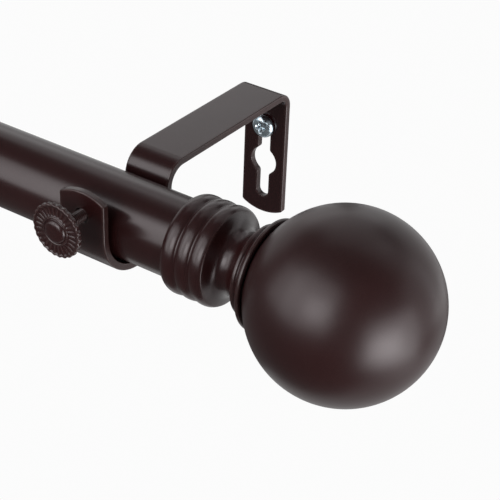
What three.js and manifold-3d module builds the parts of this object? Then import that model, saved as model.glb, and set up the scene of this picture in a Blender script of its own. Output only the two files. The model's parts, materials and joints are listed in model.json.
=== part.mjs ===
// Telescoping curtain rod with two ball finials and two U-cup wall brackets.
// Millimetres, +Z up, +X along the rod, -Y away from the wall. The wall's face is the plane y = 0.
import * as THREE from 'three';
import { mergeVertices } from 'three/addons/utils/BufferGeometryUtils.js';
import Module from 'manifold-3d';

const wasm = await Module();
wasm.setup();

// ---- driving dimensions -------------------------------------------------------------------------

const GAP = 0.3;                  // play kept between pieces that touch
const TURN = 2 * Math.PI;

// rod: two telescoping steel tubes, shown pushed together
const ROD_AXIS_Y = -81.6;         // how far the rod's axis stands off the wall
const ROD_LENGTH = 711.2;         // 28 in between the outer ends of the tubes
const ROD_R = 12.7;               // 1 in outer tube
const INNER_ROD_R = 11.1;         // 7/8 in inner tube
const TUBE_WALL = 0.8;
const INNER_TUBE_LENGTH = 660;
const END_RING_LENGTH = 2;

// bracket: one bent strip of flat steel
const STRIP_WIDTH = 17;
const STRIP_THICKNESS = 2.4;
const ARM_TOP_Z = 12.8;
const PLATE_BOTTOM_Z = -36.4;
const WALL_BEND_R = 5.6;          // outer radius where the wall plate turns into the arm
const DROP_BEND_R = 8.2;          // outer radius where the arm turns down behind the rod
const CUP_R = 14.1;               // inner radius of the cup under the rod
const CUP_OFFSET_Y = -0.55;       // cup's centre measured from the rod's axis
const CUP_OFFSET_Z = 0.95;
const LIP_TOP_Z = 15;
const END_ARCH = 2.3;             // how far the strip's ends bow out
const END_CORNER_R = 1.2;
const BRACKET_TO_ROD_END = 41.1;

// keyhole slot in the wall plate
const SLOT_WIDTH = 4.7;
const SLOT_TOP_Z = 0.3;
const SLOT_BOTTOM_Z = -30.1;
const KEYHOLE_R = 5.1;
const KEYHOLE_Z = -16;
const KEYHOLE_FILLET_R = 1.5;     // rounding where the keyhole runs into the slot

// wall screw: 8 gauge, pan head, cross recess
const WALL_SCREW_R = 2.1;
const WALL_SCREW_LENGTH = 12.7;
const WALL_SCREW_POINT_LENGTH = 3.5;
const WALL_SCREW_HEAD_HEIGHT = 2.6;
const WALL_SCREW_HEAD_OUTLINE = [ // [height over the seat, radius], from the crown to the seat
  [WALL_SCREW_HEAD_HEIGHT, 0], [WALL_SCREW_HEAD_HEIGHT, 1.3], [2.4, 2.55], [1.8, 3.6], [1.15, 4.1], [0, 4.1],
];
const RECESS_WIDTH = 1.1;
const RECESS_SPAN = 4.6;
const RECESS_DEPTH = 1.7;

// thumb screw: M4, standing above the rod's axis so that it wedges the rod into the cup
const THUMB_Z = 7.1;
const THUMB_SHANK_R = 2;
const THUMB_TIP_R = 1.2;
const THUMB_TIP_FROM_AXIS = 13.1; // tip to rod axis along Y, screw backed off
const THUMB_HEAD_R = 8.9;
const THUMB_HEAD_THICKNESS = 1.8;
const THUMB_HEAD_FROM_AXIS = 27.8; // middle of the head to rod axis along Y
const THUMB_FLUTES = 26;
const FLUTE_DEPTH = 0.5;
const THUMB_BUTTON_OUTLINE = [   // [height over the head's face, radius], from the crown to the head
  [1.3, 0], [1.25, 1.4], [1, 2.5], [0.6, 3.3], [0.3, 3.6], [0.3, 4.4], [0, 4.4],
];

// finial: turned socket, ball and hidden stud, measured along X from the end of the rod
const SOCKET_DEPTH = 13.4;
const BEAD_COUNT = 3;
const BEAD_PITCH = 5;
const BEAD_R = 15.75;
const BEAD_GROOVE = 0.8;
const NECK_OUTLINE = [            // [x, radius] of the cove between the beads and the rings
  [1.9, 14], [2.8, 11.9], [4.2, 10.5], [6.2, 10], [8.4, 10.5], [10, 11.9], [10.9, 13.9],
];
const RINGS_OUTLINE = [           // [x, radius] of the small ring, the slope and the large ring
  [11.4, 14.3], [12.1, 14.3], [12.5, 13.9], [14.4, 15.9], [15, 17.1], [15.4, 17.3], [16.1, 17.3],
];
const SEAT_RIM_R = 16.3;          // outer edge of the hollow that the ball sits in
const BALL_R = 29;
const BALL_X = 40.9;
const BALL_SEAT_GAP = 0.4;
const STUD_R = 3;
const STUD_START_X = 4.2;
const STUD_END_X = 24;
const GRUB_R = 2;
const GRUB_LENGTH = 2.2;
const GRUB_HEX_R = 1;
const GRUB_HEX_DEPTH = 1.2;

// nylon plug in the hidden end of the inner tube: it glides in the outer tube
const PLUG_FLANGE_LENGTH = 3;
const PLUG_SPIGOT_LENGTH = 12;

const bracketX = ROD_LENGTH / 2 - BRACKET_TO_ROD_END;
const cupY = ROD_AXIS_Y + CUP_OFFSET_Y;
const slotTopCentreZ = SLOT_TOP_Z - SLOT_WIDTH / 2;
const grubX = -SOCKET_DEPTH + BEAD_COUNT / 2 * BEAD_PITCH;   // the middle of the beads

// ---- materials ----------------------------------------------------------------------------------

const finish = (color, roughness, metalness) => () =>
  new THREE.MeshStandardMaterial({ color, roughness, metalness });
const cocoaCoat = finish(0x2a1c1a, 0.42, 0.35);
const cocoaResin = finish(0x2a1c1a, 0.42, 0);
const zinc = finish(0xa9b0b6, 0.3, 0.9);
const blackSteel = finish(0x1d1d20, 0.5, 0.8);
const nylon = finish(0x1b1918, 0.6, 0);

// ---- small tools --------------------------------------------------------------------------------

// A closed three.js geometry as a manifold solid.
function solid(geometry) {
  const bare = geometry.clone();
  bare.deleteAttribute('normal');
  bare.deleteAttribute('uv');
  const merged = mergeVertices(bare, 1e-4);
  const index = merged.index.array;
  const triVerts = [];
  for (let i = 0; i < index.length; i += 3) {
    const [a, b, c] = index.slice(i, i + 3);
    if (a !== b && b !== c && c !== a) triVerts.push(a, b, c);
  }
  return new wasm.Manifold(new wasm.Mesh({
    numProp: 3,
    vertProperties: new Float32Array(merged.attributes.position.array),
    triVerts: new Uint32Array(triVerts),
  }));
}

// A manifold solid back as a three.js geometry.
function geometryOf(manifold) {
  const { vertProperties, triVerts } = manifold.getMesh();
  const geometry = new THREE.BufferGeometry();
  geometry.setAttribute('position', new THREE.BufferAttribute(vertProperties, 3));
  geometry.setIndex(new THREE.BufferAttribute(triVerts, 1));
  geometry.computeVertexNormals();
  return geometry;
}

function piece(name, geometry, material) {
  const mesh = new THREE.Mesh(geometry, material());
  mesh.name = name;
  return mesh;
}

// Turns a profile of [x, radius] pairs about the X axis. The profile runs from low x to high x
// along the outside, so that the faces point out.
function turnedX(profile, segments) {
  const points = profile.map(([x, radius]) => new THREE.Vector2(radius, x));
  const geometry = new THREE.LatheGeometry(points, segments);
  return geometry.rotateZ(-Math.PI / 2);
}

// The same about the Y axis, for profiles of [y, radius] pairs.
function turnedY(profile, segments) {
  const points = profile.map(([y, radius]) => new THREE.Vector2(radius, y));
  return new THREE.LatheGeometry(points, segments);
}

// A straight tube along X from x0 to x1.
function tubeX(x0, x1, outerR, innerR, segments) {
  return turnedX([[x0, innerR], [x0, outerR], [x1, outerR], [x1, innerR], [x0, innerR]], segments);
}

// Extrudes an outline drawn in the X-Z plane along Y, from y1 back to y0.
function extrudedAlongY(shape, y0, y1, curveSegments) {
  const geometry = new THREE.ExtrudeGeometry(shape, { depth: y1 - y0, bevelEnabled: false, curveSegments });
  return geometry.rotateX(Math.PI / 2).translate(0, y1, 0);
}

function cylinderY(radius, y0, y1, x, z, segments) {
  return new THREE.CylinderGeometry(radius, radius, y1 - y0, segments).translate(x, (y0 + y1) / 2, z);
}

// ---- bracket ------------------------------------------------------------------------------------

// The bent strip seen along X: wall plate, bend, arm, bend, drop, cup and front lip.
function stripSection() {
  const t = STRIP_THICKNESS;
  const dropY = cupY + CUP_R;
  const lipY = cupY - CUP_R;
  const wallBendZ = ARM_TOP_Z - WALL_BEND_R;
  const dropBendY = dropY + DROP_BEND_R;
  const dropBendZ = ARM_TOP_Z - DROP_BEND_R;
  const quarter = Math.PI / 2;
  const shape = new THREE.Shape();
  shape.moveTo(0, PLATE_BOTTOM_Z);
  shape.lineTo(0, wallBendZ);
  shape.absarc(-WALL_BEND_R, wallBendZ, WALL_BEND_R, 0, quarter, false);
  shape.absarc(dropBendY, dropBendZ, DROP_BEND_R, quarter, Math.PI, false);
  shape.absarc(cupY, CUP_OFFSET_Z, CUP_R, 0, -Math.PI, true);
  shape.lineTo(lipY, LIP_TOP_Z);
  shape.lineTo(lipY - t, LIP_TOP_Z);
  shape.absarc(cupY, CUP_OFFSET_Z, CUP_R + t, Math.PI, TURN, false);
  shape.absarc(dropBendY, dropBendZ, DROP_BEND_R - t, Math.PI, quarter, true);
  shape.absarc(-WALL_BEND_R, wallBendZ, WALL_BEND_R - t, quarter, 0, true);
  shape.lineTo(-t, PLATE_BOTTOM_Z);
  shape.closePath();
  return shape;
}

// What is cut away past an arched end of the strip. The arch's crown is at z = 0 and bows up.
function archWaste() {
  const half = STRIP_WIDTH / 2;
  const margin = 2;
  const archR = (half * half + END_ARCH * END_ARCH) / (2 * END_ARCH);
  const cornerX = half - END_CORNER_R;
  const cornerRise = Math.sqrt((archR - END_CORNER_R) ** 2 - cornerX ** 2);
  const cornerZ = cornerRise - archR;
  const meet = Math.atan2(cornerRise, cornerX);
  const shape = new THREE.Shape();
  shape.moveTo(half + margin, cornerZ);
  shape.lineTo(half + margin, margin);
  shape.lineTo(-half - margin, margin);
  shape.lineTo(-half - margin, cornerZ);
  shape.absarc(-cornerX, cornerZ, END_CORNER_R, Math.PI, Math.PI - meet, true);
  shape.absarc(0, -archR, archR, Math.PI - meet, meet, true);
  shape.absarc(cornerX, cornerZ, END_CORNER_R, meet, 0, true);
  shape.closePath();
  return shape;
}

// The slot with the keyhole in it, rounded where the two meet.
function keyholeShape() {
  const r = SLOT_WIDTH / 2;
  const filletX = r + KEYHOLE_FILLET_R;
  const filletDz = Math.sqrt((KEYHOLE_R + KEYHOLE_FILLET_R) ** 2 - filletX ** 2);
  const meet = Math.atan2(filletDz, filletX);
  const upperZ = KEYHOLE_Z + filletDz;
  const lowerZ = KEYHOLE_Z - filletDz;
  const shape = new THREE.Shape();
  shape.absarc(0, SLOT_TOP_Z - r, r, 0, Math.PI, false);
  shape.absarc(-filletX, upperZ, KEYHOLE_FILLET_R, 0, -meet, true);
  shape.absarc(0, KEYHOLE_Z, KEYHOLE_R, Math.PI - meet, Math.PI + meet, false);
  shape.absarc(-filletX, lowerZ, KEYHOLE_FILLET_R, meet, 0, true);
  shape.absarc(0, SLOT_BOTTOM_Z + r, r, Math.PI, TURN, false);
  shape.absarc(filletX, lowerZ, KEYHOLE_FILLET_R, Math.PI, Math.PI - meet, true);
  shape.absarc(0, KEYHOLE_Z, KEYHOLE_R, -meet, meet, false);
  shape.absarc(filletX, upperZ, KEYHOLE_FILLET_R, Math.PI + meet, Math.PI, true);
  shape.closePath();
  return shape;
}

function bracketGeometry() {
  const margin = 1;
  const t = STRIP_THICKNESS;
  const lipY = cupY - CUP_R;
  const section = new THREE.ExtrudeGeometry(stripSection(), {
    depth: STRIP_WIDTH, bevelEnabled: false, curveSegments: 16,
  });
  const toYZ = new THREE.Matrix4().makeBasis(
    new THREE.Vector3(0, 1, 0), new THREE.Vector3(0, 0, 1), new THREE.Vector3(1, 0, 0));
  section.applyMatrix4(toYZ).translate(-STRIP_WIDTH / 2, 0, 0);

  const lipWaste = extrudedAlongY(archWaste(), lipY - t - margin, lipY + margin, 10)
    .translate(0, 0, LIP_TOP_Z);
  const plateWaste = extrudedAlongY(archWaste(), -margin, t + margin, 10)
    .rotateX(Math.PI)
    .translate(0, 0, PLATE_BOTTOM_Z);
  const keyhole = extrudedAlongY(keyholeShape(), -t - margin, margin, 8);
  const thumbHole = cylinderY(THUMB_SHANK_R + GAP, lipY - t - margin, lipY + margin, 0, THUMB_Z, 20);
  const cuts = [lipWaste, plateWaste, keyhole, thumbHole];
  return geometryOf(cuts.reduce((body, cut) => body.subtract(solid(cut)), solid(section)));
}

// ---- screws -------------------------------------------------------------------------------------

// Cross-recessed pan-head screw, head towards -Y, seated GAP off the wall plate.
function wallScrewGeometry() {
  const seatY = -STRIP_THICKNESS - GAP;
  const topY = seatY - WALL_SCREW_HEAD_HEIGHT;
  const endY = seatY + WALL_SCREW_LENGTH;
  const body = solid(turnedY([
    ...WALL_SCREW_HEAD_OUTLINE.map(([height, radius]) => [seatY - height, radius]),
    [seatY, WALL_SCREW_R],
    [endY - WALL_SCREW_POINT_LENGTH, WALL_SCREW_R],
    [endY, 0],
  ], 24));
  const bar = (w, h) => solid(new THREE.BoxGeometry(w, 2 * RECESS_DEPTH, h).translate(0, topY, 0));
  const recess = bar(RECESS_WIDTH, RECESS_SPAN).add(bar(RECESS_SPAN, RECESS_WIDTH));
  return geometryOf(body.subtract(recess)).translate(0, 0, slotTopCentreZ);
}

function thumbShankGeometry() {
  const tipY = ROD_AXIS_Y - THUMB_TIP_FROM_AXIS;
  const headBackY = ROD_AXIS_Y - THUMB_HEAD_FROM_AXIS + THUMB_HEAD_THICKNESS / 2;
  const startY = headBackY + GAP;
  const chamfer = THUMB_SHANK_R - THUMB_TIP_R;
  return turnedY([
    [startY, 0],
    [startY, THUMB_SHANK_R],
    [tipY - chamfer, THUMB_SHANK_R],
    [tipY, THUMB_TIP_R],
    [tipY, 0],
  ], 20).translate(0, 0, THUMB_Z);
}

// Fluted disc with a raised button in the middle of its face.
function thumbHeadGeometry() {
  const middleY = ROD_AXIS_Y - THUMB_HEAD_FROM_AXIS;
  const frontY = middleY - THUMB_HEAD_THICKNESS / 2;
  const backY = middleY + THUMB_HEAD_THICKNESS / 2;
  const stepsPerFlute = 2;
  const outline = new THREE.Shape();
  for (let i = 0; i < THUMB_FLUTES * stepsPerFlute; i += 1) {
    const angle = (TURN * i) / (THUMB_FLUTES * stepsPerFlute);
    const radius = THUMB_HEAD_R - FLUTE_DEPTH * (1 - Math.cos(THUMB_FLUTES * angle)) / 2;
    const point = [radius * Math.cos(angle), radius * Math.sin(angle)];
    if (i === 0) outline.moveTo(...point);
    else outline.lineTo(...point);
  }
  outline.closePath();
  const disc = solid(extrudedAlongY(outline, frontY, backY, 1));
  const button = solid(turnedY([
    ...THUMB_BUTTON_OUTLINE.map(([height, radius]) => [frontY - height, radius]),
    [middleY, THUMB_BUTTON_OUTLINE.at(-1)[1]],
    [middleY, 0],
  ], 24));
  return geometryOf(disc.add(button)).translate(0, 0, THUMB_Z);
}

// ---- rod ----------------------------------------------------------------------------------------

const finialBackX = ROD_LENGTH / 2 - SOCKET_DEPTH;      // where both sockets begin, left and right
const outerTubeLeftX = -finialBackX + END_RING_LENGTH + 2 * GAP;
const innerTubeRightX = -ROD_LENGTH / 2 + INNER_TUBE_LENGTH;

function innerTubePlugGeometry() {
  const flangeR = ROD_R - TUBE_WALL - GAP;
  const spigotR = INNER_ROD_R - TUBE_WALL - GAP;
  const x = innerTubeRightX + GAP;
  return turnedX([
    [x - PLUG_SPIGOT_LENGTH, 0],
    [x - PLUG_SPIGOT_LENGTH, spigotR],
    [x, spigotR],
    [x, flangeR],
    [x + PLUG_FLANGE_LENGTH, flangeR],
    [x + PLUG_FLANGE_LENGTH, 0],
  ], 32);
}

// ---- finial, built at the rod's right end with x = 0 at the end of the rod -----------------------

// Outside of the three beads, from the socket's mouth towards the ball.
function beadProfile() {
  const stepsPerBead = 4;
  const profile = [];
  for (let bead = 0; bead < BEAD_COUNT; bead += 1) {
    const firstStep = bead === 0 ? 0 : 1;
    for (let step = firstStep; step <= stepsPerBead; step += 1) {
      const along = step / stepsPerBead;
      const x = -SOCKET_DEPTH + (bead + along) * BEAD_PITCH;
      profile.push([x, BEAD_R - BEAD_GROOVE * (2 * along - 1) ** 2]);
    }
  }
  return profile;
}

// Smooth cove between the last bead and the small ring.
function neckProfile() {
  const curve = new THREE.SplineCurve(NECK_OUTLINE.map(([x, radius]) => new THREE.Vector2(x, radius)));
  return curve.getPoints(8).map((point) => [point.x, point.y]);
}

function ballFaceX(radius, ballR) {
  return BALL_X - Math.sqrt(ballR ** 2 - radius ** 2);
}

function socketGeometry() {
  const boreR = ROD_R + GAP;
  const boreEndX = GAP;
  const studHoleR = STUD_R + GAP;
  const seatR = BALL_R + BALL_SEAT_GAP;
  const seatProfile = [1, 0.66, 0.33, 0].map((share) => {
    const radius = studHoleR + share * (SEAT_RIM_R - studHoleR);
    return [ballFaceX(radius, seatR), radius];
  });
  const profile = [
    [boreEndX, 0],
    [boreEndX, boreR],
    [-SOCKET_DEPTH, boreR],
    ...beadProfile(),
    ...neckProfile(),
    ...RINGS_OUTLINE,
    ...seatProfile,
    [STUD_START_X - GAP, studHoleR],
    [STUD_START_X - GAP, 0],
  ];
  const grubHoleDepth = 6;
  const grubHole = new THREE.CylinderGeometry(GRUB_R + GAP, GRUB_R + GAP, grubHoleDepth, 16)
    .rotateX(Math.PI / 2)
    .translate(grubX, 0, -BEAD_R);
  return geometryOf(solid(turnedX(profile, 28)).subtract(solid(grubHole)));
}

function ballGeometry() {
  const holeR = STUD_R + GAP;
  const holeEndX = STUD_END_X + GAP;
  const ringsPerHalf = 7;
  const startAngle = Math.asin(holeR / BALL_R);
  const profile = [[holeEndX, 0], [holeEndX, holeR]];
  for (let i = 0; i < ringsPerHalf; i += 1) {
    const angle = startAngle + ((Math.PI / 2 - startAngle) * i) / ringsPerHalf;
    profile.push([BALL_X - BALL_R * Math.cos(angle), BALL_R * Math.sin(angle)]);
  }
  for (let i = 0; i < ringsPerHalf; i += 1) {
    const angle = (Math.PI / 2) * (1 + i / ringsPerHalf);
    profile.push([BALL_X - BALL_R * Math.cos(angle), BALL_R * Math.sin(angle)]);
  }
  profile.push([BALL_X + BALL_R, 0]);
  return turnedX(profile, 28);
}

function studGeometry() {
  return turnedX([[STUD_START_X, 0], [STUD_START_X, STUD_R], [STUD_END_X, STUD_R], [STUD_END_X, 0]], 16);
}

// Grub screw with a hex recess, standing in the underside of the middle bead.
function grubScrewGeometry() {
  const tipZ = -(ROD_R + GAP);
  const endZ = tipZ - GRUB_LENGTH;
  const body = solid(new THREE.CylinderGeometry(GRUB_R, GRUB_R, GRUB_LENGTH, 16).rotateX(Math.PI / 2));
  const recess = solid(new THREE.CylinderGeometry(GRUB_HEX_R, GRUB_HEX_R, 2 * GRUB_HEX_DEPTH, 6)
    .rotateX(Math.PI / 2)
    .translate(0, 0, -GRUB_LENGTH / 2));
  return geometryOf(body.subtract(recess)).translate(grubX, 0, (tipZ + endZ) / 2);
}

// Nylon sleeve that fills the socket's bore round the thinner inner tube.
function adapterSleeveGeometry() {
  return tubeX(-SOCKET_DEPTH + 2 * GAP, 0, ROD_R, INNER_ROD_R + GAP, 32);
}

function finial(side) {
  const group = new THREE.Group();
  group.add(piece(`finial_socket_${side}`, socketGeometry(), cocoaCoat));
  group.add(piece(`finial_ball_${side}`, ballGeometry(), cocoaResin));
  group.add(piece(`finial_stud_${side}`, studGeometry(), zinc));
  group.add(piece(`finial_grub_screw_${side}`, grubScrewGeometry(), blackSteel));
  return group;
}

// ---- assembly -----------------------------------------------------------------------------------

const curtainRod = new THREE.Group();

for (const [side, sign] of [['right', 1], ['left', -1]]) {
  const bracket = new THREE.Group();
  bracket.add(piece(`bracket_${side}`, bracketGeometry(), cocoaCoat));
  bracket.add(piece(`wall_screw_${side}`, wallScrewGeometry(), zinc));
  bracket.add(piece(`thumb_screw_shank_${side}`, thumbShankGeometry(), cocoaCoat));
  bracket.add(piece(`thumb_screw_head_${side}`, thumbHeadGeometry(), cocoaCoat));
  bracket.position.x = sign * bracketX;
  curtainRod.add(bracket);
}

const rod = new THREE.Group();
rod.position.y = ROD_AXIS_Y;
curtainRod.add(rod);

rod.add(piece('outer_tube',
  tubeX(outerTubeLeftX, ROD_LENGTH / 2, ROD_R, ROD_R - TUBE_WALL, 56), cocoaCoat));
rod.add(piece('outer_tube_end_ring',
  tubeX(outerTubeLeftX - GAP - END_RING_LENGTH, outerTubeLeftX - GAP, ROD_R, INNER_ROD_R + GAP, 48), nylon));
rod.add(piece('inner_tube',
  tubeX(-ROD_LENGTH / 2, innerTubeRightX, INNER_ROD_R, INNER_ROD_R - TUBE_WALL, 40), cocoaCoat));
rod.add(piece('inner_tube_plug', innerTubePlugGeometry(), nylon));

const rightFinial = finial('right');
rightFinial.position.x = ROD_LENGTH / 2;
rod.add(rightFinial);

const leftFinial = finial('left');
leftFinial.add(piece('adapter_sleeve', adapterSleeveGeometry(), nylon));
leftFinial.rotation.z = Math.PI;
leftFinial.position.x = -ROD_LENGTH / 2;
rod.add(leftFinial);

export default curtainRod;
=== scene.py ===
import json
import math

import bmesh
import bpy
import numpy as np
from mathutils import Matrix, Vector

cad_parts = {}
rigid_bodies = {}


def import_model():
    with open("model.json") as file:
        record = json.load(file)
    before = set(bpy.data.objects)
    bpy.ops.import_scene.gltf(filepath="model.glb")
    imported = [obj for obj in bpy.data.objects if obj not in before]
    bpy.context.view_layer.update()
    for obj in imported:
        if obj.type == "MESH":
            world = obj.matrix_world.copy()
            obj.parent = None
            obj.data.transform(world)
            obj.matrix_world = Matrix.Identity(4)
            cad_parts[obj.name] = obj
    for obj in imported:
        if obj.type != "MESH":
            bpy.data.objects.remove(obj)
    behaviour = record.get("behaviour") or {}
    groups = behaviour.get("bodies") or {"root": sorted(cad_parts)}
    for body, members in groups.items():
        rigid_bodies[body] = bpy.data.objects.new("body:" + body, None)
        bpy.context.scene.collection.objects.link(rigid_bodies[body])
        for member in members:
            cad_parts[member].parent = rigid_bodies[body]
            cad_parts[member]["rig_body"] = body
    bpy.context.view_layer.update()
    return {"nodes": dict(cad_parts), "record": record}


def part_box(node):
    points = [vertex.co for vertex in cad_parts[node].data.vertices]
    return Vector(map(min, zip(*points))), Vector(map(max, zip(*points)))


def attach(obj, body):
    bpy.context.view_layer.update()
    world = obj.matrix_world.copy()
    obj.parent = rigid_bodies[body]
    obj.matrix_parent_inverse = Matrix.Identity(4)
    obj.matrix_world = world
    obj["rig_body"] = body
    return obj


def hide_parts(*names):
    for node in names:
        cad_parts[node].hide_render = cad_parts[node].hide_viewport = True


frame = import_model()

# ---- sizes in millimetres: the CAD model's, and those of the finer shapes added to it ---------------

MM = 0.001
TURN = 2 * math.pi
GAP = 0.3                         # left between pieces that touch
SAME_POINT = 1e-4                 # outline points closer than this are one point
ON_CUT = 1e-5                     # points this close to a cutting plane lie on it
ROUND_OFF = 1e-6                  # smaller differences come from rounding

EDGE_MARK_REACH = 0.6                  # how far an edge's wear and painted highlight run onto a flat or a tube's side
EDGE_MARK_STARTS = 0.5                 # a surface that turns less than this in a millimetre gets neither edge wear nor painted highlight
EDGE_MARK_FULL = 2.0                   # and one that turns more than this gets them in full

ROD_R = 12.7
INNER_ROD_R = 11.1
TUBE_WALL = 0.8
TUBE_EDGE_R = 0.25
END_RING_EDGE_R = 0.6
SLEEVE_EDGE_R = 0.3

STRIP_WIDTH = 17.0
STRIP_THICKNESS = 2.4
STRIP_EDGE_R = 0.45               # rounding of the strip's long edges
HOLE_EDGE_R = 0.3                 # rounding round the punched holes
EDGE_STEPS = 4                    # facets across each rounded edge
BEND_FACET = 3                    # degrees that each facet of a bend turns through
STRIP_END_CLEAR = 0.5             # no cut across the strip is closer than this to its ends
ARM_TOP_Z = 12.8
PLATE_BOTTOM_Z = -36.4
WALL_BEND_R = 5.6
DROP_BEND_R = 8.2
CUP_R = 14.1
CUP_OFFSET_Y = -0.55
CUP_OFFSET_Z = 0.95
LIP_TOP_Z = 15.0
END_ARCH = 2.3
END_CORNER_R = 1.2

SLOT_WIDTH = 4.7
SLOT_TOP_Z = 0.3
SLOT_BOTTOM_Z = -30.1
KEYHOLE_R = 5.1
KEYHOLE_Z = -16.0
KEYHOLE_FILLET_R = 1.5            # rounding where the keyhole runs into the slot

WALL_SCREW_R = 2.1
WALL_SCREW_ROOT_R = 1.5
WALL_SCREW_PITCH = 1.6
WALL_SCREW_LENGTH = 12.7
WALL_SCREW_POINT = 3.5
WALL_SCREW_POINT_TAPER = 0.8      # under 1 makes the point's sides bulge
WALL_SCREW_PLAIN = 1.5            # bare shank under the head, before the thread
WALL_SCREW_HEAD_HEIGHT = 2.6
WALL_SCREW_HEAD_R = 4.1
WALL_SCREW_HEAD_CHAMFER = 0.2     # on the edge of the head's underside
WALL_SCREW_CROWN = [              # (below the top of the head, radius)
    (0, 0), (0, 1.0), (0.04, 1.7), (0.15, 2.4), (0.36, 3.0),
    (0.7, 3.55), (1.15, 3.93), (1.55, 4.08), (1.9, WALL_SCREW_HEAD_R),
]
RECESS_WIDTH = 1.1
RECESS_SPAN = 4.6
RECESS_DEPTH = 1.7
RECESS_FLOOR_SHARE = 0.42         # the cross's span at its floor, as a share of RECESS_SPAN
RECESS_MOUTH_SHARE = 1.12         # the same at the cutter's top
RECESS_OVERCUT = 1.0              # how far the cutter's top stands over the head

THREAD_CREST = 1.35               # a tooth's height at its middle, of which all over 1 is cut off flat
THREAD_FLANK = 3.1                # how much the tooth falls in one pitch

THUMB_Z = 7.1
THUMB_SHANK_R = 2.0
THUMB_ROOT_R = 1.58
THUMB_PITCH = 0.7
THUMB_TIP_R = 1.2
THUMB_TIP_EDGE = 0.1              # rounding of the tip's edge
THUMB_HEAD_R = 8.9
THUMB_HEAD_THICKNESS = 1.8
THUMB_BUTTON_HEIGHT = 1.3
THUMB_FLUTES = 26
THUMB_FLUTE_DEPTH = 0.5
THUMB_FLUTE_STEPS = 12            # points round the head for each flute

SOCKET_DEPTH = 13.4
BEAD_COUNT = 3
BEAD_PITCH = 5.0
BEAD_R = 15.75
BEAD_GROOVE = 0.8
BEAD_FLATNESS = 2.4               # 2 is a parabola, and more is flatter on top
SOCKET_EDGE_R = 0.35
NECK_OUTLINE = [                  # (away from the rod's end, radius)
    (1.9, 14.0), (2.8, 11.9), (4.2, 10.5), (6.2, 10.0), (8.4, 10.5), (10.0, 11.9), (10.9, 13.9),
]
RINGS_OUTLINE = [                 # the small ring, the cove and the large ring, likewise
    (10.9, 13.9), (11.15, 14.18), (11.5, 14.3), (11.95, 14.3), (12.3, 14.15), (12.5, 13.9), (12.62, 13.86),
    (12.8, 13.98), (13.4, 14.45), (14.0, 15.1), (14.4, 15.85), (14.5, 16.2), (14.66, 16.75), (14.9, 17.1),
    (15.25, 17.27), (15.65, 17.3), (15.95, 17.2), (16.12, 16.9), (16.1, 16.5),
]
SEAT_RIM_R = 16.3
BALL_R = 29.0
BALL_X = 40.9
BALL_SEAT_GAP = 0.4
STUD_R = 3.0
STUD_ROOT_R = 2.4
STUD_PITCH = 1.0
STUD_START_X = 4.2
STUD_END_X = 24.0
STUD_END_TAPER = 0.5
GRUB_X = BEAD_COUNT / 2 * BEAD_PITCH - SOCKET_DEPTH
GRUB_R = 2.0
GRUB_LENGTH = 2.2
GRUB_EDGE_R = 0.22
GRUB_HEX_R = 1.0
GRUB_HEX_DEPTH = 1.2
GRUB_HEX_OVERCUT = 1.0
GRUB_HOLE_OVERCUT = 3.0           # how far the hole's cutter stands out of the beads
GRUB_HOLE_INTO_BORE = 1.5         # and how far into the socket's bore
PLUG_FLANGE_LENGTH = 3.0
PLUG_EDGE_R = 0.5

# ---- places, from the CAD model -------------------------------------------------------------------


def box_mm(node):
    """The low and high corners of a CAD node's box."""
    low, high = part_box(node)
    return low / MM, high / MM


outer_low, outer_high = box_mm("outer_tube")
inner_low, inner_high = box_mm("inner_tube")
end_ring_low, end_ring_high = box_mm("outer_tube_end_ring")
plug_low, plug_high = box_mm("inner_tube_plug")
sleeve_low, sleeve_high = box_mm("adapter_sleeve")
bracket_low, bracket_high = box_mm("bracket_right")
shank_low, shank_high = box_mm("thumb_screw_shank_right")
head_front_y = box_mm("thumb_screw_head_right")[0].y

rod_y = (outer_low.y + outer_high.y) / 2
rod_end_x = outer_high.x
bracket_x = (bracket_low.x + bracket_high.x) / 2
cup_y = rod_y + CUP_OFFSET_Y

# ---- mesh tools -----------------------------------------------------------------------------------


def add_object(name, data):
    """A new object in the scene from a mesh, a light's data or a camera's."""
    obj = bpy.data.objects.new(name, data)
    bpy.context.scene.collection.objects.link(obj)
    return obj


def object_from(name, work):
    """A smooth-shaded object from a bmesh, which is used up, with its faces turned outwards."""
    bmesh.ops.recalc_face_normals(work, faces=work.faces)
    mesh = bpy.data.meshes.new(name)
    work.to_mesh(mesh)
    work.free()
    mesh.shade_smooth()
    return add_object(name, mesh)


def new_object(name, vertices, faces):
    """An object from vertices in millimetres and faces."""
    plain = bpy.data.meshes.new("plain")
    plain.from_pydata([(Vector(v) * MM)[:] for v in vertices], [], faces)
    work = bmesh.new()
    work.from_mesh(plain)
    bpy.data.meshes.remove(plain)
    return object_from(name, work)


def skin(rings):
    """Faces between each ring of vertex numbers and the next. A ring of one vertex is a point."""
    faces = []
    for one, two in zip(rings, rings[1:]):
        count = max(len(one), len(two))
        for i in range(count):
            j = (i + 1) % count
            if len(one) == 1:
                faces.append((one[0], two[i], two[j]))
            elif len(two) == 1:
                faces.append((one[i], one[j], two[0]))
            else:
                faces.append((one[i], one[j], two[j], two[i]))
    return faces


def soften(outline, radius, steps=4, least_turn=0.3):
    """Rounds the corners of an outline of (along, radius) points. Its two ends stay as they are, and so
    do the corners that turn by less than least_turn radians."""
    most = 0.45                   # of either side's length, so that two roundings never meet
    points = [Vector(p) for p in outline]
    rounded = [points[0]]
    for before, corner, after in zip(points, points[1:], points[2:]):
        into, out = corner - before, after - corner
        turn = into.angle(out) if into.length and out.length else 0
        if turn < least_turn:
            rounded.append(corner)
            continue
        reach = min(radius * math.tan(turn / 2), most * into.length, most * out.length)
        start = corner - into.normalized() * reach
        end = corner + out.normalized() * reach
        for step in range(steps + 1):
            t = step / steps
            rounded.append(start * (1 - t) ** 2 + corner * 2 * t * (1 - t) + end * t ** 2)
    rounded.append(points[-1])
    return [tuple(p) for p in rounded]


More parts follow.
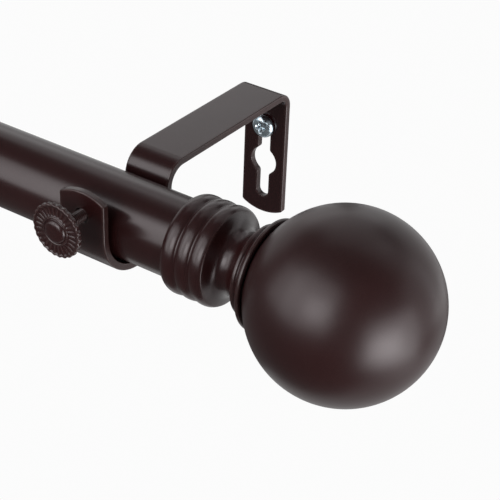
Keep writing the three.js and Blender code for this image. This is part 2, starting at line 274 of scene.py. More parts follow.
def ring_point(axis, centre, along, radius, angle):
    """A point at that distance along the axis through centre and at that angle round it."""
    c, s = radius * math.cos(angle), radius * math.sin(angle)
    return centre + (Vector((along, c, s)) if axis == "X" else Vector((c, along, s)))


def turned(name, outline, axis, centre, segments, radius_of=None):
    """A solid of revolution from (along, radius) points: axis to axis, or a closed loop for a tube.
    radius_of(along, radius, angle) may change the radius, which is how a thread is cut."""
    centre = Vector(centre)
    vertices, rings = [], []
    for along, radius in outline:
        if radius < ROUND_OFF:
            rings.append([len(vertices)])
            vertices.append(ring_point(axis, centre, along, 0, 0))
            continue
        rings.append(list(range(len(vertices), len(vertices) + segments)))
        for i in range(segments):
            angle = TURN * i / segments
            r = radius_of(along, radius, angle) if radius_of else radius
            vertices.append(ring_point(axis, centre, along, r, angle))
    if len(rings[0]) > 1:
        rings.append(rings[0])
    return new_object(name, vertices, skin(rings))


def upright(name, x, low_z, high_z, radius, sides):
    """A prism standing along Z under the rod's axis."""
    vertices = []
    for z in (low_z, high_z):
        for i in range(sides):
            angle = TURN * i / sides
            vertices.append(Vector((x + radius * math.cos(angle), rod_y + radius * math.sin(angle), z)))
    faces = [tuple(range(sides)), tuple(range(sides, 2 * sides))]
    faces += [(i, (i + 1) % sides, sides + (i + 1) % sides, sides + i) for i in range(sides)]
    return new_object(name, vertices, faces)


def cut(obj, tool):
    """Takes the tool's shape out of obj and removes the tool."""
    modifier = obj.modifiers.new("cut", "BOOLEAN")
    modifier.operation = "DIFFERENCE"
    modifier.solver = "EXACT"
    modifier.object = tool
    graph = bpy.context.evaluated_depsgraph_get()
    mesh = bpy.data.meshes.new_from_object(obj.evaluated_get(graph))
    obj.modifiers.clear()
    obj.data = mesh
    bpy.data.objects.remove(tool)
    mesh.shade_smooth()


def mark_edges(mesh):
    """Stores how sharply each vertex stands out: 0 on flats and wide curves, 1 on sharp edges."""
    count = len(mesh.vertices)
    points = np.empty(count * 3)
    mesh.vertices.foreach_get("co", points)
    points = points.reshape(-1, 3)
    normals = np.empty(count * 3)
    mesh.vertex_normals.foreach_get("vector", normals)
    normals = normals.reshape(-1, 3)
    ends = np.empty(len(mesh.edges) * 2, int)
    mesh.edges.foreach_get("vertices", ends)
    a, b = ends.reshape(-1, 2).T
    between = points[a] - points[b]
    shortest = 1e-7               # metres, so that nothing is divided by zero
    length_squared = np.maximum((between ** 2).sum(1), shortest ** 2)
    bend = ((normals[a] - normals[b]) * between).sum(1) / length_squared * MM
    sharpest = np.zeros(count)
    np.maximum.at(sharpest, a, bend)
    np.maximum.at(sharpest, b, bend)
    # 1 on sharp edges: the mask for edge wear, and on the cocoa coat also for a painted edge highlight
    wear_and_highlight = np.clip((sharpest - EDGE_MARK_STARTS) / (EDGE_MARK_FULL - EDGE_MARK_STARTS), 0, 1)
    mesh.attributes.new("edge_wear_and_highlight", "FLOAT", "POINT").data.foreach_set("value", wear_and_highlight)


def finish_piece(obj, node):
    """Gives a piece the finish of its CAD node's slot and puts it in that node's place."""
    mark_edges(obj.data)
    weighted = obj.modifiers.new("even_normals", "WEIGHTED_NORMAL")
    weighted.mode = "FACE_AREA"
    obj.data.materials.clear()
    obj.data.materials.append(finishes[slot_of[node]])
    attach(obj, frame["nodes"][node]["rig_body"])
    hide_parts(node)


# ---- materials ------------------------------------------------------------------------------------

MIDDLE = (0.3, 0.7)               # the part of a noise's range that most of it lies in


class Nodes:
    """Short calls for making a material's nodes and links."""

    def __init__(self, name):
        self.material = bpy.data.materials.new(name)
        self.material.use_nodes = True
        self.tree = self.material.node_tree
        self.shader = self.tree.nodes["Principled BSDF"]
        self.place = self.add("ShaderNodeTexCoord").outputs["Object"]

    def add(self, kind, inputs=(), **settings):
        node = self.tree.nodes.new(kind)
        for key, value in settings.items():
            setattr(node, key, value)
        for key, value in dict(inputs).items():
            if isinstance(value, bpy.types.NodeSocket):
                self.tree.links.new(value, node.inputs[key])
            else:
                node.inputs[key].default_value = value
        return node

    def noise(self, size_mm, detail=2.0, roughness=0.5):
        """Noise with features of about that size."""
        inputs = {
            "Vector": self.place, "Scale": 1 / (size_mm * MM), "Detail": detail, "Roughness": roughness,
        }
        return self.add("ShaderNodeTexNoise", inputs).outputs["Fac"]

    def spread(self, value, low, high, out_low=0.0, out_high=1.0):
        """value from low..high moved to out_low..out_high, and held within them."""
        inputs = {"Value": value, "From Min": low, "From Max": high, "To Min": out_low, "To Max": out_high}
        return self.add("ShaderNodeMapRange", inputs).outputs[0]

    def math(self, operation, a, b):
        return self.add("ShaderNodeMath", {0: a, 1: b}, operation=operation).outputs[0]

    def mix(self, share, a, b):
        """Colour a, going over to colour b as share goes from 0 to 1."""
        node = self.add("ShaderNodeMix", {"Factor": share}, data_type="RGBA")
        colour_a, colour_b, result = node.inputs[6], node.inputs[7], node.outputs[2]
        for socket, value in ((colour_a, a), (colour_b, b)):
            if isinstance(value, bpy.types.NodeSocket):
                self.tree.links.new(value, socket)
            else:
                socket.default_value = (*value, 1)
        return result

    def edge(self):
        """What mark_edges stored: 1 on sharp edges."""
        return self.add("ShaderNodeAttribute", attribute_name="edge_wear_and_highlight").outputs["Fac"]

    def bump(self, height, depth_mm, under=None):
        """A bumped normal, on top of another bump's normal if one is given."""
        inputs = {"Height": height, "Strength": 1.0, "Distance": depth_mm * MM}
        if under is not None:
            inputs["Normal"] = under
        return self.add("ShaderNodeBump", inputs).outputs["Normal"]

    def link(self, socket, output):
        self.tree.links.new(output, self.shader.inputs[socket])


def cocoa(name, roughness, specular, peel_mm, peel_depth_mm):
    """Satin dark cocoa coat: orange peel, fine grain, faint mottling, and paler edges that are partly wear
    and partly a painted highlight.
    """
    n = Nodes(name)
    dark, pale = (0.0115, 0.0027, 0.0028), (0.0143, 0.0036, 0.0037)
    speck_colour, worn_and_lit_colour = (0.026, 0.012, 0.011), (0.050, 0.032, 0.030)
    base = n.mix(n.spread(n.noise(22, detail=3, roughness=0.55), *MIDDLE), dark, pale)
    speck = n.spread(n.noise(0.35, detail=1), 0.45, 0.75)
    base = n.mix(n.math("MULTIPLY", speck, 0.3), base, speck_colour)
    patchy = n.spread(n.noise(3.5, detail=3, roughness=0.6), 0.3, 0.6, 0.35, 1.0)
    # paler colour on sharp edges, partly edge wear and partly a painted highlight standing in for the lit
    # edges
    worn_and_lit = n.math("MULTIPLY", n.edge(), patchy)
    base = n.mix(n.math("MULTIPLY", worn_and_lit, 0.4), base, worn_and_lit_colour)
    n.link("Base Color", base)
    uneven = n.noise(9, detail=3, roughness=0.6)
    rough = n.spread(uneven, *MIDDLE, roughness - 0.01, roughness + 0.01)
    rough = n.math("SUBTRACT", rough, n.math("MULTIPLY", worn_and_lit, 0.04))
    n.link("Roughness", rough)
    peel = n.bump(n.noise(peel_mm, detail=1.5, roughness=0.4), peel_depth_mm)
    grain = n.bump(n.noise(0.4, detail=1), 0.003, under=peel)
    n.link("Normal", grain)
    n.shader.inputs["Specular IOR Level"].default_value = specular
    n.shader.inputs["Specular Tint"].default_value = (1.0, 0.95, 0.97, 1)
    return n.material


def bright_zinc():
    n = Nodes("zinc")
    dark, pale, edge_colour = (0.42, 0.53, 0.60), (0.58, 0.66, 0.71), (0.86, 0.89, 0.92)
    base = n.mix(n.spread(n.noise(1.2, detail=3, roughness=0.6), *MIDDLE), dark, pale)
    base = n.mix(n.math("MULTIPLY", n.edge(), 0.5), base, edge_colour)
    n.link("Base Color", base)
    n.link("Roughness", n.spread(n.noise(0.5), *MIDDLE, 0.24, 0.32))
    n.link("Normal", n.bump(n.noise(0.6), 0.006))
    n.shader.inputs["Metallic"].default_value = 1.0
    return n.material


def black_oxide():
    n = Nodes("black_steel")
    dark, pale, edge_colour = (0.018, 0.018, 0.021), (0.04, 0.04, 0.046), (0.14, 0.14, 0.15)
    base = n.mix(n.spread(n.noise(0.8, detail=3), *MIDDLE), dark, pale)
    base = n.mix(n.math("MULTIPLY", n.edge(), 0.5), base, edge_colour)
    n.link("Base Color", base)
    n.link("Roughness", n.spread(n.noise(0.4), *MIDDLE, 0.38, 0.52))
    n.link("Normal", n.bump(n.noise(0.3), 0.006))
    n.shader.inputs["Metallic"].default_value = 0.85
    return n.material


def moulded_nylon():
    n = Nodes("nylon")
    dark, pale, edge_colour = (0.011, 0.010, 0.0095), (0.019, 0.017, 0.016), (0.05, 0.046, 0.044)
    base = n.mix(n.spread(n.noise(6, detail=3), *MIDDLE), dark, pale)
    base = n.mix(n.math("MULTIPLY", n.edge(), 0.4), base, edge_colour)
    n.link("Base Color", base)
    n.link("Roughness", n.spread(n.noise(1.5, detail=3), *MIDDLE, 0.46, 0.6))
    n.link("Normal", n.bump(n.noise(0.45), 0.008))
    return n.material


finishes = {
    "cocoa_coat": cocoa("cocoa_coat", roughness=0.24, specular=0.36, peel_mm=1.2, peel_depth_mm=0.003),
    "cocoa_resin": cocoa("cocoa_resin", roughness=0.34, specular=0.34, peel_mm=1.8, peel_depth_mm=0.004),
    "zinc": bright_zinc(),
    "black_steel": black_oxide(),
    "nylon": moulded_nylon(),
}
slot_of = {part["node"]: part["material_slot"] for part in frame["record"]["subparts"]}

# ---- bracket strap --------------------------------------------------------------------------------


def arc(centre, radius, start, end, steps):
    """Points on an arc, both ends included, angles in radians."""
    angles = [start + (end - start) * i / steps for i in range(steps + 1)]
    return [(centre[0] + radius * math.cos(a), centre[1] + radius * math.sin(a)) for a in angles]


def strip_path():
    """The strip's wall-side face as runs of (length, point and normal at a share of the run). The face is
    the back of the plate, the top of the arm, and the rod side of the drop, the cup and the lip.
    The normal points through the strip's thickness."""
    half = math.pi / 2
    wall_bend_z = ARM_TOP_Z - WALL_BEND_R
    drop_y = cup_y + CUP_R
    drop_bend_y = drop_y + DROP_BEND_R
    drop_bend_z = ARM_TOP_Z - DROP_BEND_R

    def straight(start, end, normal):
        start, end, normal = Vector(start), Vector(end), Vector(normal)
        return (end - start).length, lambda t: (start.lerp(end, t), normal)

    def bend(centre, radius, start, end, inwards):
        def at(t):
            angle = start + (end - start) * t
            out = Vector((math.cos(angle), math.sin(angle)))
            return Vector(centre) + out * radius, -out if inwards else out
        return abs(end - start) * radius, at

    return [
        straight((0, PLATE_BOTTOM_Z), (0, wall_bend_z), (-1, 0)),
        bend((-WALL_BEND_R, wall_bend_z), WALL_BEND_R, 0, half, True),
        straight((-WALL_BEND_R, ARM_TOP_Z), (drop_bend_y, ARM_TOP_Z), (0, -1)),
        bend((drop_bend_y, drop_bend_z), DROP_BEND_R, half, math.pi, True),
        straight((drop_y, drop_bend_z), (drop_y, CUP_OFFSET_Z), (1, 0)),
        bend((cup_y, CUP_OFFSET_Z), CUP_R, 0, -math.pi, False),
        straight((cup_y - CUP_R, CUP_OFFSET_Z), (cup_y - CUP_R, LIP_TOP_Z), (-1, 0)),
    ]


def keyhole_outline():
    """The slot with the keyhole in it, every corner rounded, as (across, height) points."""
    r = SLOT_WIDTH / 2
    fillet_x = r + KEYHOLE_FILLET_R
    reach = KEYHOLE_R + KEYHOLE_FILLET_R
    fillet_dz = math.sqrt(reach ** 2 - fillet_x ** 2)
    meet = math.atan2(fillet_dz, fillet_x)
    right = arc((fillet_x, KEYHOLE_Z - fillet_dz), KEYHOLE_FILLET_R, math.pi, math.pi - meet, 8)
    right += arc((0, KEYHOLE_Z), KEYHOLE_R, -meet, meet, 32)
    right += arc((fillet_x, KEYHOLE_Z + fillet_dz), KEYHOLE_FILLET_R, math.pi + meet, math.pi, 8)
    right += arc((0, SLOT_TOP_Z - r), r, 0, math.pi / 2, 12)
    lower = arc((0, SLOT_BOTTOM_Z + r), r, -math.pi / 2, 0, 12)
    half = lower + right
    return half + [(-x, z) for x, z in reversed(half[1:-1])]


def strip_outline(length):
    """The flat blank's edge as (across, along) points: straight sides and arched ends."""
    half = STRIP_WIDTH / 2
    arch_r = (half ** 2 + END_ARCH ** 2) / (2 * END_ARCH)
    corner_x = half - END_CORNER_R
    rise = math.sqrt((arch_r - END_CORNER_R) ** 2 - corner_x ** 2)
    corner = rise - arch_r
    meet = math.atan2(rise, corner_x)
    top = arc((corner_x, length + corner), END_CORNER_R, 0, meet, 8)
    top += arc((0, length - arch_r), arch_r, meet, math.pi - meet, 28)
    top += arc((-corner_x, length + corner), END_CORNER_R, math.pi - meet, math.pi, 8)
    return top + [(-x, length - s) for x, s in top]


def without_repeats(loop):
    """The points of a closed loop as vectors, leaving out each one that lies on the next."""
    points = [Vector(p) for p in loop]
    return [p for p, q in zip(points, points[1:] + points[:1]) if (p - q).length > SAME_POINT]


def edge_levels(edge_r):
    """(inset, depth) from the flat of one face, round the edge and in to the flat of the other."""
    levels = [(edge_r + EDGE_MARK_REACH, 0)]
    for k in range(EDGE_STEPS + 1):
        angle = math.pi / 2 * k / EDGE_STEPS
        levels.append((edge_r * (1 - math.sin(angle)), edge_r * (1 - math.cos(angle))))
    return levels + [(inset, STRIP_THICKNESS - depth) for inset, depth in reversed(levels)]


def rounded_blank(outline, holes):
    """A flat plate in a bmesh: x across, y along, z through the thickness, with rounded edges."""
    work = bmesh.new()
    front_edges, back_edges = [], []
    for loop, edge_r, outwards in [(outline, STRIP_EDGE_R, -1)] + [(h, HOLE_EDGE_R, 1) for h in holes]:
        loop = without_repeats(loop)
        count = len(loop)
        moves = []
        for i, point in enumerate(loop):
            along = (loop[(i + 1) % count] - point).normalized() + (point - loop[i - 1]).normalized()
            moves.append(Vector((along.y, -along.x)).normalized() * outwards)
        rings = []
        for inset, depth in edge_levels(edge_r):
            rings.append([work.verts.new((*(p + m * inset), depth)) for p, m in zip(loop, moves)])
        for one, two in zip(rings, rings[1:]):
            for i in range(count):
                j = (i + 1) % count
                work.faces.new((one[i], one[j], two[j], two[i]))
        for edges, ring in ((front_edges, rings[0]), (back_edges, rings[-1])):
            edges += [work.edges.get((ring[i], ring[(i + 1) % count])) for i in range(count)]
    for edges in (front_edges, back_edges):
        bmesh.ops.triangle_fill(work, use_beauty=True, use_dissolve=False, edges=edges)
    return work


def cut_for_bends(work, runs, length):
    """Cuts the flat strip across where its bends turn, so that each facet turns by BEND_FACET."""
    done = 0
    for run_length, at in runs:
        turned_by = at(0)[1].angle(at(1)[1])
        steps = max(1, round(math.degrees(turned_by) / BEND_FACET))
        for k in range(steps + 1):
            along = done + run_length * k / steps
            if STRIP_END_CLEAR < along < length - STRIP_END_CLEAR:
                bmesh.ops.bisect_plane(
                    work, geom=work.verts[:] + work.edges[:] + work.faces[:], dist=ON_CUT,
                    plane_co=(0, along, 0), plane_no=(0, 1, 0))
        done += run_length


def on_path(runs, along):
    """The path's point and normal at that length from its start."""
    for run_length, at in runs[:-1]:
        if along <= run_length + ROUND_OFF:
            return at(along / run_length)
        along -= run_length
    last_length, at = runs[-1]
    return at(along / last_length)


def strap(side, x):
    """The bracket: the strip is made flat, with its holes and rounded edges, and then bent."""
    runs = strip_path()
    length = sum(run_length for run_length, _ in runs)
    lip_start = length - runs[-1][0]
    keyhole = [(u, z - PLATE_BOTTOM_Z) for u, z in keyhole_outline()]
    thumb_s = lip_start + THUMB_Z - CUP_OFFSET_Z
    thumb_hole = arc((0, thumb_s), THUMB_SHANK_R + GAP, 0, TURN, 40)[:-1]
    work = rounded_blank(strip_outline(length), [keyhole, thumb_hole])
    cut_for_bends(work, runs, length)
    for vertex in work.verts:
        u, along, depth = vertex.co
        point, normal = on_path(runs, along)
        place = point + normal * depth
        vertex.co = Vector((x + u, place.x, place.y)) * MM
    finish_piece(object_from(f"bracket_{side}_fine", work), f"bracket_{side}")


# ---- screws ---------------------------------------------------------------------------------------


def thread(root_r, pitch, start, end):
    """For turned(): cuts a thread down to root_r, running out smoothly at both ends."""
    def radius_of(along, radius, angle):
        if radius <= root_r or not start < along < end:
            return radius
        phase = (along / pitch - angle / TURN) % 1
        tooth = min(1, max(0, THREAD_CREST - THREAD_FLANK * abs(phase - 0.5)))
        fade = min(1, (along - start) / pitch, (end - along) / pitch)
        return radius - (radius - root_r) * (1 - tooth) * fade
    return radius_of


def along_steps(start, end, radius, step):
    """(along, radius) points from start to end at that spacing."""
    count = max(1, round(abs(end - start) / step))
    return [(start + (end - start) * i / count, radius) for i in range(count + 1)]


def cross_recess(x, top_y, z):
    """The cutter for a cross recess, tapering down from over the head's top."""
    wide, narrow = RECESS_SPAN / 2, RECESS_WIDTH / 2
    plan = [
        (wide, narrow), (wide, -narrow), (narrow, -narrow), (narrow, -wide),
        (-narrow, -wide), (-narrow, -narrow), (-wide, -narrow), (-wide, narrow),
        (-narrow, narrow), (-narrow, wide), (narrow, wide), (narrow, narrow),
    ]
    work = bmesh.new()

    def level(y, span_share):
        points = []
        for u, v in plan:
            u = u * span_share if abs(u) > narrow else u
            v = v * span_share if abs(v) > narrow else v
            points.append(work.verts.new(Vector((x + u, y, z + v)) * MM))
        return points

    upper = level(top_y - RECESS_OVERCUT, RECESS_MOUTH_SHARE)
    lower = level(top_y + RECESS_DEPTH, RECESS_FLOOR_SHARE)
    count = len(plan)
    for i in range(count):
        j = (i + 1) % count
        work.faces.new((upper[i], upper[j], lower[j], lower[i]))
    work.faces.new(upper)
    work.faces.new(lower)
    return object_from("recess", work)


def wall_screw(side, x):
    seat_y = -STRIP_THICKNESS - GAP
    top_y = seat_y - WALL_SCREW_HEAD_HEIGHT
    end_y = seat_y + WALL_SCREW_LENGTH
    point_y = end_y - WALL_SCREW_POINT
    centre_z = SLOT_TOP_Z - SLOT_WIDTH / 2
    head = [(top_y + below, radius) for below, radius in WALL_SCREW_CROWN]
    head += [
        (seat_y - WALL_SCREW_HEAD_CHAMFER, WALL_SCREW_HEAD_R),
        (seat_y, WALL_SCREW_HEAD_R - WALL_SCREW_HEAD_CHAMFER),
        (seat_y, WALL_SCREW_R),
    ]
    first_ring = 0.1              # of the shank, under the head
    shank = along_steps(seat_y + first_ring, point_y, WALL_SCREW_R, WALL_SCREW_PITCH / 10)
    tip = []
    for share in (0.2, 0.4, 0.6, 0.8, 0.93, 1):
        radius = WALL_SCREW_R * (1 - share) ** WALL_SCREW_POINT_TAPER
        tip.append((point_y + share * WALL_SCREW_POINT, radius))
    cut_thread = thread(WALL_SCREW_ROOT_R, WALL_SCREW_PITCH, seat_y + WALL_SCREW_PLAIN, end_y)
    outline = head + shank + tip
    body = turned(
        f"wall_screw_{side}_fine", outline, "Y", (x, 0, centre_z), segments=48, radius_of=cut_thread)
    cut(body, cross_recess(x, top_y, centre_z))
    finish_piece(body, f"wall_screw_{side}")


def thumb_shank(side, x):
    start, end = shank_low.y, shank_high.y
    chamfer = THUMB_SHANK_R - THUMB_TIP_R
    thread_end = end - 0.4 * chamfer
    taper, taper_depth = 0.2, 0.35           # at the end that is fixed in the head
    outline = [(start, 0), (start, THUMB_SHANK_R - taper_depth)]
    outline += along_steps(start + taper, end - chamfer, THUMB_SHANK_R, THUMB_PITCH / 10)
    outline += [
        (end - chamfer / 2, (THUMB_SHANK_R + THUMB_TIP_R) / 2),
        (end - THUMB_TIP_EDGE, THUMB_TIP_R + THUMB_TIP_EDGE),
        (end, THUMB_TIP_R - 2 * THUMB_TIP_EDGE), (end, 0),
    ]
    cut_thread = thread(THUMB_ROOT_R, THUMB_PITCH, start, thread_end)
    obj = turned(
        f"thumb_screw_shank_{side}_fine", outline, "Y", (x, 0, THUMB_Z), segments=48, radius_of=cut_thread)
    finish_piece(obj, f"thumb_screw_shank_{side}")


def thumb_head(side, x):
    """Thin disc with a scalloped rim, radial ridges on its face, a low ring and a domed button."""
    middle = head_front_y + THUMB_BUTTON_HEIGHT + THUMB_HEAD_THICKNESS / 2
    half = THUMB_HEAD_THICKNESS / 2
    rim = THUMB_HEAD_R
    # (radius, height over the middle plane towards the room, ridge height, share of the flutes)
    rows = [
        (0.0, 2.17, 0, 0), (0.85, 2.18, 0, 0), (1.5, 2.17, 0, 0), (2.0, 2.13, 0, 0), (2.45, 2.06, 0, 0),
        (2.85, 1.93, 0, 0), (3.2, 1.77, 0, 0), (3.45, 1.56, 0, 0), (3.64, 1.32, 0, 0), (3.76, 1.12, 0, 0),
        (3.86, 0.99, 0, 0), (3.98, 0.95, 0, 0), (4.1, 1.0, 0, 0), (4.22, 1.1, 0, 0), (4.35, 1.15, 0, 0),
        (4.48, 1.11, 0, 0), (4.6, 0.98, 0, 0), (4.7, 0.84, 0, 0), (4.86, 0.74, 0.09, 0), (5.2, 0.7, 0.17, 0),
        (5.9, 0.68, 0.23, 0), (6.8, 0.67, 0.25, 0), (7.4, 0.67, 0.24, 0.05), (7.75, 0.69, 0.19, 0.1),
        (7.98, 0.75, 0.11, 0.2), (8.16, 0.82, 0.05, 0.3), (8.4, 0.87, 0, 0.4), (8.62, 0.82, 0, 0.5),
        (8.8, 0.66, 0, 0.6), (rim, 0.42, 0, 0.7), (rim, -0.35, 0, 0.7), (8.82, -0.62, 0, 0.7),
        (8.6, -0.82, 0, 0.6), (8.2, -half, 0, 0.5), (5.0, -half, 0, 0), (0.0, -half, 0, 0),
    ]
    segments = THUMB_FLUTES * THUMB_FLUTE_STEPS
    vertices, rings = [], []
    for radius, height, ridge, share in rows:
        if radius == 0:
            rings.append([len(vertices)])
            vertices.append(Vector((x, middle - height, THUMB_Z)))
            continue
        rings.append(list(range(len(vertices), len(vertices) + segments)))
        for i in range(segments):
            angle = TURN * i / segments
            wave = math.cos(THUMB_FLUTES * angle)
            r = radius - THUMB_FLUTE_DEPTH * share * (1 - wave) / 2
            y = middle - height + ridge * (1 - wave) / 2
            vertices.append(Vector((x + r * math.cos(angle), y, THUMB_Z + r * math.sin(angle))))
    obj = new_object(f"thumb_screw_head_{side}_fine", vertices, skin(rings))
    finish_piece(obj, f"thumb_screw_head_{side}")


# ---- rod ------------------------------------------------------------------------------------------


def tube(node, low, high, outer_r, inner_r, edge_r):
    """A tube along X, with a ring near each end that keeps the edge wear and painted edge highlight at the
    edges.
    """
    most = 0.4                    # of the length, so that the two rings never meet
    reach = min(edge_r + EDGE_MARK_REACH, most * (high - low))
    near_low, near_high = low + reach, high - reach
    loop = [
        (near_high, outer_r), (high, outer_r), (high, inner_r), (near_high, inner_r),
        (near_low, inner_r), (low, inner_r), (low, outer_r), (near_low, outer_r), (near_high, outer_r),
    ]
    outline = soften(loop, edge_r)[:-1]
    obj = turned(f"{node}_fine", outline, "X", (0, rod_y, 0), segments=128)
    finish_piece(obj, node)


def inner_tube_plug():
    flange_r = ROD_R - TUBE_WALL - GAP
    spigot_r = INNER_ROD_R - TUBE_WALL - GAP
    step_x = plug_high.x - PLUG_FLANGE_LENGTH
    outline = [
        (plug_low.x, 0), (plug_low.x, spigot_r), (step_x, spigot_r), (step_x, flange_r),
        (plug_high.x, flange_r), (plug_high.x, 0),
    ]
    outline = soften(outline, PLUG_EDGE_R)
    obj = turned("inner_tube_plug_fine", outline, "X", (0, rod_y, 0), segments=96)
    finish_piece(obj, "inner_tube_plug")


# ---- finials: x = 0 at the end of the rod, growing away from it ------------------------------------


def spline(points, steps):
    """A smooth line through (along, radius) points."""
    padded = [points[0]] + list(points) + [points[-1]]
    line = []
    for p0, p1, p2, p3 in zip(padded, padded[1:], padded[2:], padded[3:]):
        p0, p1, p2, p3 = Vector(p0), Vector(p1), Vector(p2), Vector(p3)
        for k in range(steps):
            t = k / steps
            line.append(tuple(0.5 * (
                2 * p1 + (p2 - p0) * t + (2 * p0 - 5 * p1 + 4 * p2 - p3) * t ** 2
                + (3 * p1 - p0 - 3 * p2 + p3) * t ** 3)))
    line.append(tuple(points[-1]))
    return line


def bead_outline():
    """The beads from the socket's mouth on, as (along, radius) points."""
    outline = []
    steps = 18
    for bead in range(BEAD_COUNT):
        for k in range(steps + 1):
            along = k / steps
            x = -SOCKET_DEPTH + (bead + along) * BEAD_PITCH
            drop = abs(2 * along - 1) ** BEAD_FLATNESS
            outline.append((x, BEAD_R - BEAD_GROOVE * drop))
    return outline


def finial_socket(side, sign, end_x):
    bore_r = ROD_R + GAP
    stud_hole_r = STUD_R + GAP
    seat_r = BALL_R + BALL_SEAT_GAP
    mouth = [(GAP, 0), (GAP, bore_r), (-SOCKET_DEPTH, bore_r), (-SOCKET_DEPTH, BEAD_R - BEAD_GROOVE)]
    outline = soften(mouth, SOCKET_EDGE_R)[:-1] + bead_outline()
    outline += spline(NECK_OUTLINE, steps=8)[:-1] + RINGS_OUTLINE
    steps = 16
    for k in range(steps + 1):
        radius = SEAT_RIM_R + (stud_hole_r - SEAT_RIM_R) * k / steps
        outline.append((BALL_X - math.sqrt(seat_r ** 2 - radius ** 2), radius))
    outline += [(STUD_START_X - GAP, stud_hole_r), (STUD_START_X - GAP, 0)]
    outline = [(end_x + sign * x, r) for x, r in outline]
    obj = turned(f"finial_socket_{side}_fine", outline, "X", (0, rod_y, 0), segments=160)
    low_z, high_z = -BEAD_R - GRUB_HOLE_OVERCUT, -bore_r + GRUB_HOLE_INTO_BORE
    cut(obj, upright("grub_hole", end_x + sign * GRUB_X, low_z, high_z, GRUB_R + GAP, sides=40))
    finish_piece(obj, f"finial_socket_{side}")


def finial_ball(side, sign, end_x):
    hole_r = STUD_R + GAP
    start = math.asin(hole_r / BALL_R)
    outline = [(STUD_END_X + GAP, 0), (STUD_END_X + GAP, hole_r)]
    steps = 72
    for k in range(steps + 1):
        angle = start + (math.pi - start) * k / steps
        outline.append((BALL_X - BALL_R * math.cos(angle), 0 if k == steps else BALL_R * math.sin(angle)))
    outline = [(end_x + sign * x, r) for x, r in outline]
    obj = turned(f"finial_ball_{side}_fine", outline, "X", (0, rod_y, 0), segments=144)
    finish_piece(obj, f"finial_ball_{side}")


def finial_stud(side, sign, end_x):
    full_start, full_end = STUD_START_X + STUD_END_TAPER, STUD_END_X - STUD_END_TAPER
    outline = [(STUD_START_X, 0), (STUD_START_X, STUD_ROOT_R)]
    outline += along_steps(full_start, full_end, STUD_R, STUD_PITCH / 10)
    outline += [(STUD_END_X, STUD_ROOT_R), (STUD_END_X, 0)]
    outline = [(end_x + sign * x, r) for x, r in outline]
    ends = sorted((end_x + sign * STUD_START_X, end_x + sign * STUD_END_X))
    cut_thread = thread(STUD_ROOT_R, STUD_PITCH, *ends)
    obj = turned(
        f"finial_stud_{side}_fine", outline, "X", (0, rod_y, 0), segments=40, radius_of=cut_thread)
    finish_piece(obj, f"finial_stud_{side}")


def grub_screw(side, sign, end_x):
    x = end_x + sign * GRUB_X
    high_z = -(ROD_R + GAP)
    low_z = high_z - GRUB_LENGTH
    obj = upright(f"finial_grub_screw_{side}_fine", x, low_z, high_z, GRUB_R, sides=40)
    rounding = obj.modifiers.new("rounding", "BEVEL")
    rounding.width = GRUB_EDGE_R * MM
    rounding.segments = 3
    cut(obj, upright("hex", x, low_z - GRUB_HEX_OVERCUT, low_z + GRUB_HEX_DEPTH, GRUB_HEX_R, sides=6))
    finish_piece(obj, f"finial_grub_screw_{side}")


for side, sign in (("right", 1), ("left", -1)):
    strap(side, sign * bracket_x)
    wall_screw(side, sign * bracket_x)
    thumb_shank(side, sign * bracket_x)
    thumb_head(side, sign * bracket_x)
    finial_socket(side, sign, sign * rod_end_x)
    finial_ball(side, sign, sign * rod_end_x)
    finial_stud(side, sign, sign * rod_end_x)
    grub_screw(side, sign, sign * rod_end_x)

tube("outer_tube", outer_low.x, outer_high.x, ROD_R, ROD_R - TUBE_WALL, TUBE_EDGE_R)
tube("inner_tube", inner_low.x, inner_high.x, INNER_ROD_R, INNER_ROD_R - TUBE_WALL, TUBE_EDGE_R)
tube("outer_tube_end_ring", end_ring_low.x, end_ring_high.x, ROD_R, INNER_ROD_R + GAP, END_RING_EDGE_R)
tube("adapter_sleeve", sleeve_low.x, sleeve_high.x, ROD_R, INNER_ROD_R + GAP, SLEEVE_EDGE_R)
inner_tube_plug()

# ---- studio, in metres -----------------------------------------------------------------------------

FLOOR_Z = -0.62
FLOOR_SIZE = 60.0
FLOOR_GLOW = 0.97
BACKDROP_R = 40.0
BACKDROP_GLOW = 0.9
FILL_LIGHT = 0.16                 # even light from all round
LIGHT_AIM = Vector((0.36, -0.08, 0.0))
WATTS_PER_AREA = 4                # an area light's watts for each square metre, at brightness 1
SOFT_BOXES = [
    # name, direction from LIGHT_AIM, distance, width, height, brightness
    ("front", (-0.21, -0.87, 0.45), 1.5, 1.6, 1.6, 2.1),
    ("front_core", (-0.03, -0.92, 0.38), 1.45, 0.75, 0.6, 3.4),
    ("front_left", (-0.72, -0.6, 0.35), 1.5, 0.9, 1.1, 1.6),
    ("side", (0.955, -0.12, -0.22), 1.5, 1.6, 1.4, 2.8),
    ("side_middle", (0.945, -0.2, -0.24), 1.47, 0.8, 0.8, 2.7),
    ("side_core", (0.93, -0.29, -0.25), 1.45, 0.9, 0.5, 2.5),
    ("side_low", (0.8, 0.1, -0.6), 1.5, 1.2, 0.8, 0.45),
    ("back", (0.1, 1.0, 0.05), 2.0, 2.6, 2.0, 0.5),
    ("back_left", (-0.85, 0.5, 0.05), 2.0, 2.0, 2.0, 0.45),
    ("back_high", (-0.47, 0.7, 0.53), 2.0, 1.6, 1.2, 0.57),
    ("back_right", (0.8, 0.65, 0.1), 2.0, 1.6, 2.0, 0.65),
    ("back_low", (0.37, 0.82, -0.44), 1.9, 1.2, 1.0, 0.35),
    ("overhead", (-0.1, 0.45, 0.88), 2.0, 2.0, 1.2, 0.55),
    ("overhead_right", (0.45, 0.56, 0.69), 1.9, 0.9, 0.9, 0.45),
    ("below", (0.1, 0.35, -0.93), 1.5, 2.4, 1.6, 0.4),
]

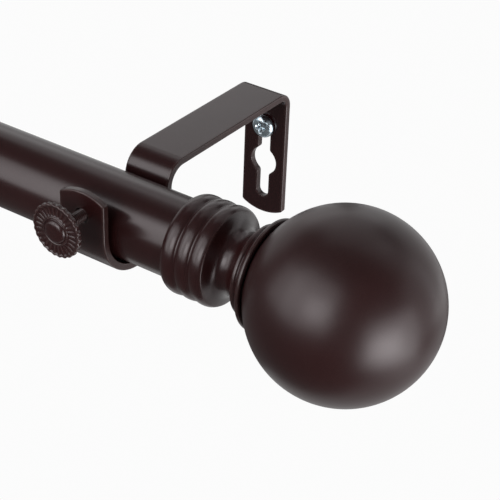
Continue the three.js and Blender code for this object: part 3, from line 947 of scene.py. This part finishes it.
CAMERA_TARGET = Vector((0.36387, -0.0816, 0.00557))
CAMERA_DISTANCE = 0.4339
CAMERA_AZIMUTH = math.radians(33.94)
CAMERA_ELEVATION = math.radians(32.29)
CAMERA_ROLL = math.radians(2.26)
CAMERA_LENS_MM = 107.99
CAMERA_SENSOR_MM = 36
CAMERA_SHIFT = (-0.001, 0.001)
CAMERA_CLIP_START = 0.01


def seen_only(obj, glow):
    """Makes a stage piece pale and glowing for the camera, with no part in lighting the object."""
    material = bpy.data.materials.new(obj.name)
    material.use_nodes = True
    shader = material.node_tree.nodes["Principled BSDF"]
    shader.inputs["Base Color"].default_value = (0, 0, 0, 1)
    shader.inputs["Specular IOR Level"].default_value = 0.0
    shader.inputs["Emission Color"].default_value = (1, 1, 1, 1)
    shader.inputs["Emission Strength"].default_value = glow
    obj.data.materials.append(material)
    obj.visible_glossy = False
    obj.visible_diffuse = False
    obj.visible_shadow = False


def floor():
    work = bmesh.new()
    place = Matrix.Translation((0, 0, FLOOR_Z))
    bmesh.ops.create_grid(work, x_segments=1, y_segments=1, size=FLOOR_SIZE / 2, matrix=place)
    seen_only(object_from("floor", work), FLOOR_GLOW)


def backdrop():
    """A pale dome round the floor's edge and over it."""
    work = bmesh.new()
    bmesh.ops.create_uvsphere(work, u_segments=48, v_segments=24, radius=BACKDROP_R)
    seen_only(object_from("backdrop", work), BACKDROP_GLOW)


def soft_box(name, direction, distance, width, height, brightness):
    data = bpy.data.lights.new(name, "AREA")
    data.shape = "RECTANGLE"
    data.size, data.size_y = width, height
    data.energy = WATTS_PER_AREA * brightness * width * height
    obj = add_object(name, data)
    direction = Vector(direction).normalized()
    obj.location = LIGHT_AIM + direction * distance
    obj.rotation_mode = "QUATERNION"
    obj.rotation_quaternion = (-direction).to_track_quat("-Z", "Y")
    obj.visible_camera = False


def fill_light():
    world = bpy.data.worlds.new("studio")
    world.use_nodes = True
    background = world.node_tree.nodes["Background"]
    background.inputs["Color"].default_value = (1, 1, 1, 1)
    background.inputs["Strength"].default_value = FILL_LIGHT
    bpy.context.scene.world = world


def camera():
    """The camera, placed by the direction from its target and rolled about its own axis."""
    across = math.cos(CAMERA_ELEVATION)
    back = Vector((
        math.sin(CAMERA_AZIMUTH) * across, -math.cos(CAMERA_AZIMUTH) * across, math.sin(CAMERA_ELEVATION)))
    right = Vector((math.cos(CAMERA_AZIMUTH), math.sin(CAMERA_AZIMUTH), 0))
    up = back.cross(right)
    x_axis = math.cos(CAMERA_ROLL) * right + math.sin(CAMERA_ROLL) * up
    y_axis = -math.sin(CAMERA_ROLL) * right + math.cos(CAMERA_ROLL) * up
    data = bpy.data.cameras.new("camera")
    data.sensor_width = CAMERA_SENSOR_MM
    data.lens = CAMERA_LENS_MM
    data.shift_x, data.shift_y = CAMERA_SHIFT
    data.clip_start = CAMERA_CLIP_START
    obj = add_object("camera", data)
    turn = Matrix((x_axis, y_axis, back)).transposed().to_4x4()
    obj.matrix_world = Matrix.Translation(CAMERA_TARGET + back * CAMERA_DISTANCE) @ turn
    bpy.context.scene.camera = obj


floor()
backdrop()
fill_light()
for soft_box_values in SOFT_BOXES:
    soft_box(*soft_box_values)
camera()
bpy.context.scene.view_settings.view_transform = "Standard"
